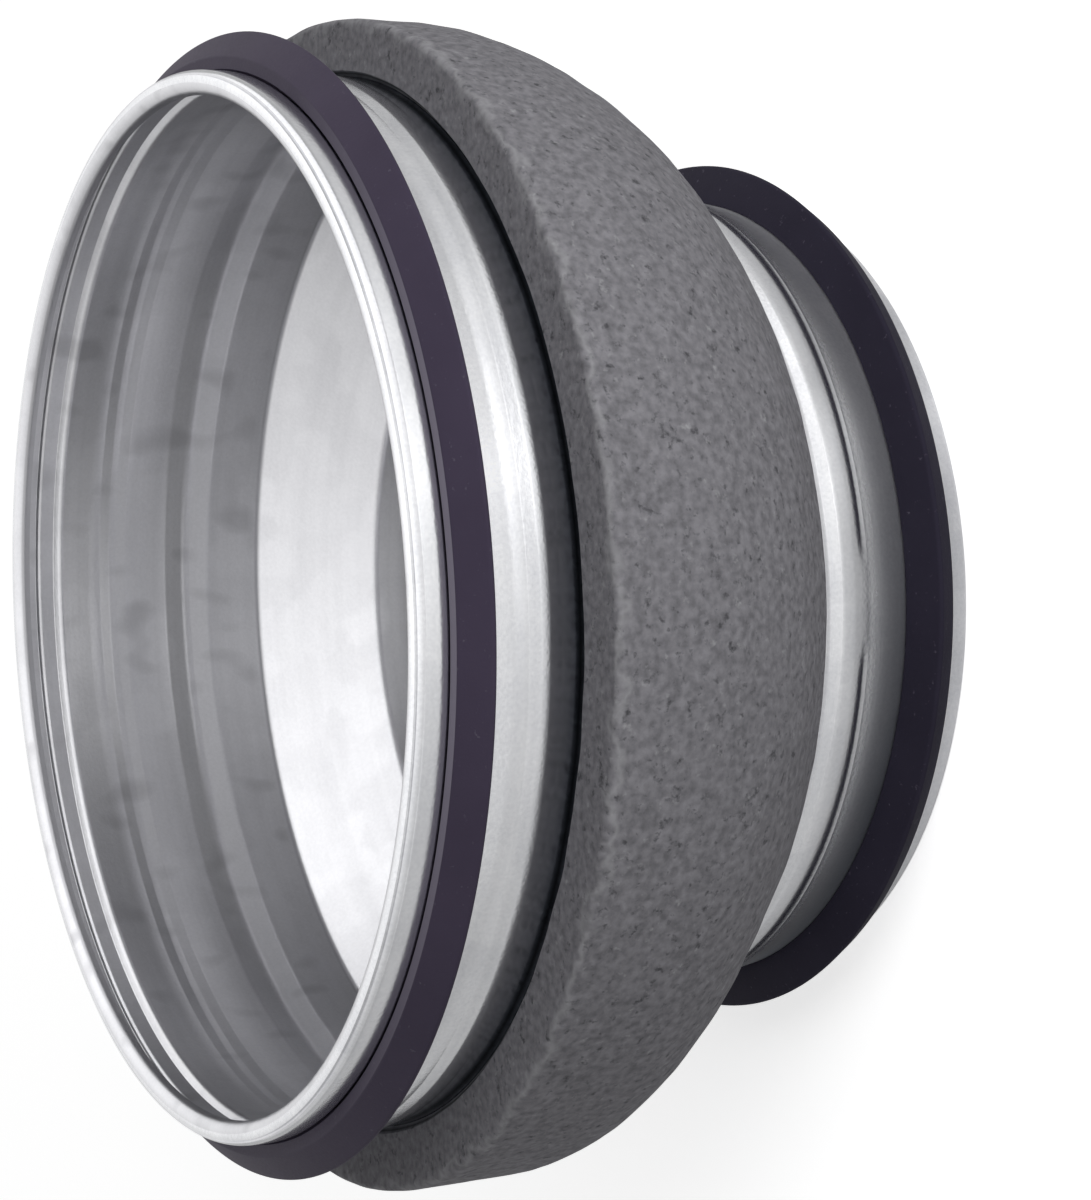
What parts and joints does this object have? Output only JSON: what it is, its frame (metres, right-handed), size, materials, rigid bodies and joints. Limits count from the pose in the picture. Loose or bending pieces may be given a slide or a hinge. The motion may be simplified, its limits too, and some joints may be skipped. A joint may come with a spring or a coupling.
{
  "type": "duct reducer",
  "caption": "Insulated round duct reducer: a pressed steel cone joins a large and a small spigot, each with a rubber lip gasket, inside a grey foam collar.",
  "frame": {"origin": "on the duct axis, in the plane of the small rim that the reducer stands on", "axes": "+Z along the duct axis from the small end to the large end; X and Y lie across the duct"},
  "size_m": [0.2236, 0.2236, 0.1231],
  "materials": {
    "galvanised_steel": "satin zinc with a fine spangle",
    "gasket_rubber": "matte",
    "foam": "matte closed-cell foam"
  },
  "bodies": {
    "root": {"steel_body": "galvanised_steel", "large_gasket": "gasket_rubber", "small_gasket": "gasket_rubber", "foam_collar": "foam"}
  },
  "joints": []
}
